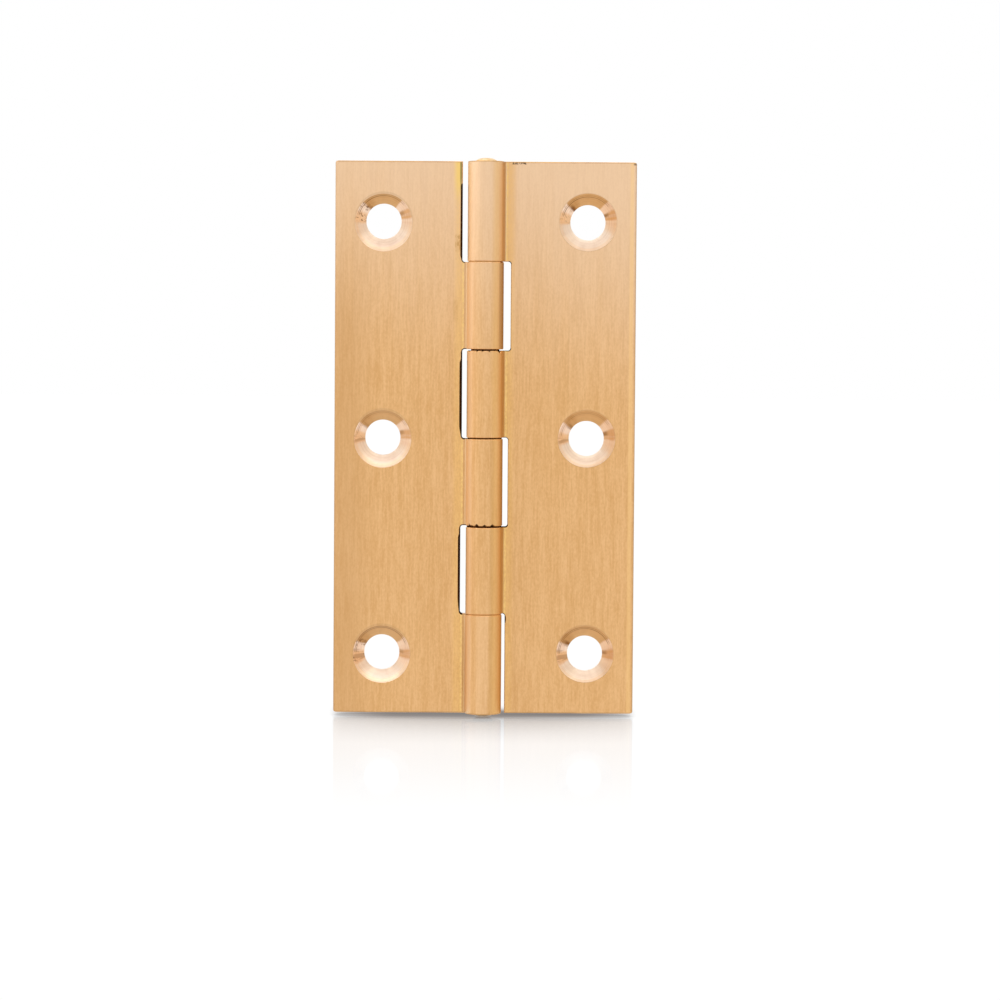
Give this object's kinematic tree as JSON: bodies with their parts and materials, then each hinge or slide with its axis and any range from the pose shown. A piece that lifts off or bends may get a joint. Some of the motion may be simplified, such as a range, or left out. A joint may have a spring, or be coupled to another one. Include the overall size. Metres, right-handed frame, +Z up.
{
  "type": "butt hinge",
  "caption": "Narrow brass butt hinge: flat countersunk leaves that carry alternate knuckles on a peened pin.",
  "frame": {"origin": "on the pin's axis, midway along the leaves, with the hinge opened flat", "axes": "+Z up the pin, +X across the right leaf, -Y out of the countersunk faces"},
  "size_m": [0.0414, 0.005, 0.077],
  "materials": {
    "satin_brass": "brushed along the pin, lacquered",
    "pin_brass": "drawn rod, peened ends"
  },
  "bodies": {
    "frame_leaf": {"left_leaf": "satin_brass", "hinge_pin": "pin_brass"},
    "door_leaf": {"right_leaf": "satin_brass"}
  },
  "joints": [
    {"name": "leaf_swing", "type": "hinge", "parent": "frame_leaf", "child": "door_leaf", "pos_m": [0, 0, 0], "axis": [0, 0, 1], "range_deg": [-180, 90]}
  ]
}
